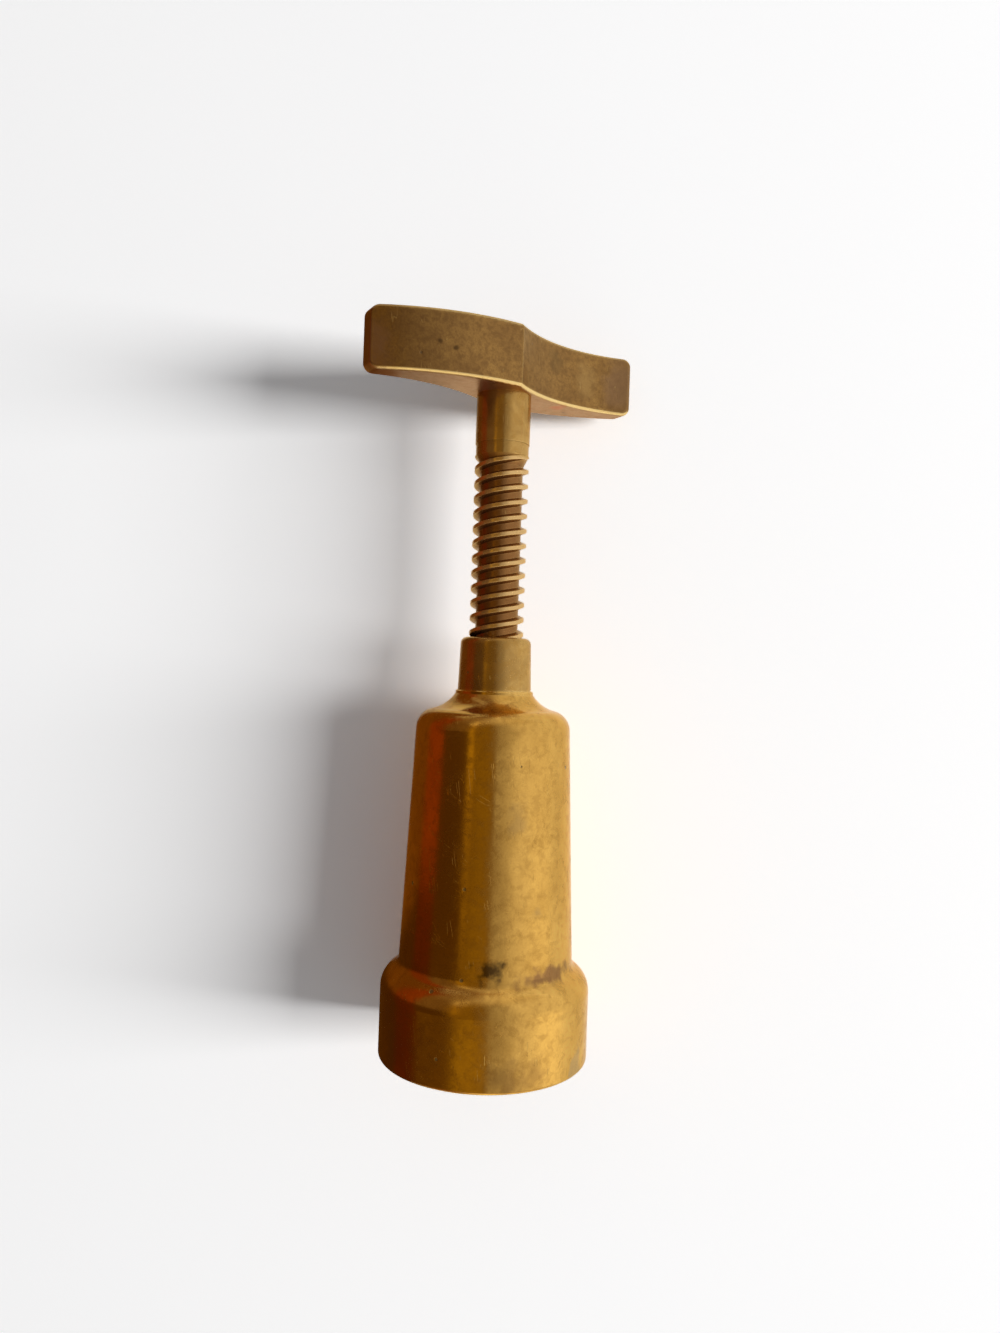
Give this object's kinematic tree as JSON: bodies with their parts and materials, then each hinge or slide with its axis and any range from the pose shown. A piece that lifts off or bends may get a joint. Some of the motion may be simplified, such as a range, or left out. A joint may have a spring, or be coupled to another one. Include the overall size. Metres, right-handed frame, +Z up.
{
  "type": "screw corkscrew",
  "caption": "Solid brass screw corkscrew: T-handle on a threaded spindle that drives a wire worm down through a bell-shaped barrel standing on the bottle.",
  "frame": {"origin": "centre of the bell's rim, where the bell stands", "axes": "+Z up along the spindle's axis; +X along the handle; the handle's pin goes in from +Y, the back"},
  "size_m": [0.06, 0.042, 0.1454],
  "materials": {
    "cast_brass": "satin, aged, with brown patina",
    "turned_brass": "turned, aged, dark in the grooves",
    "handle_brass": "satin, olive-brown patina, worn bright on the edges",
    "steel": "bright drawn wire",
    "fibre": "pressed red fibre"
  },
  "bodies": {
    "bell": {"bell": "cast_brass", "neck_bush": "cast_brass"},
    "washer": {"stop_washer": "fibre"},
    "spindle": {"spindle": "turned_brass", "stop_collar": "turned_brass", "worm": "steel", "worm_pin": "steel", "handle": "handle_brass", "handle_pin": "turned_brass"}
  },
  "joints": [
    {"name": "drop", "type": "slide", "parent": "bell", "child": "washer", "axis": [0, 0, 1], "range_m": [-0.036, 0.0015]},
    {"name": "turn", "type": "hinge", "parent": "washer", "child": "spindle", "pos_m": [0, 0, 0.0616], "axis": [0, 0, 1], "range_deg": [-2161, 91]}
  ],
  "couplings": [
    {"joint": "turn", "follows": "drop", "rad_per_m": 1047.2}
  ]
}
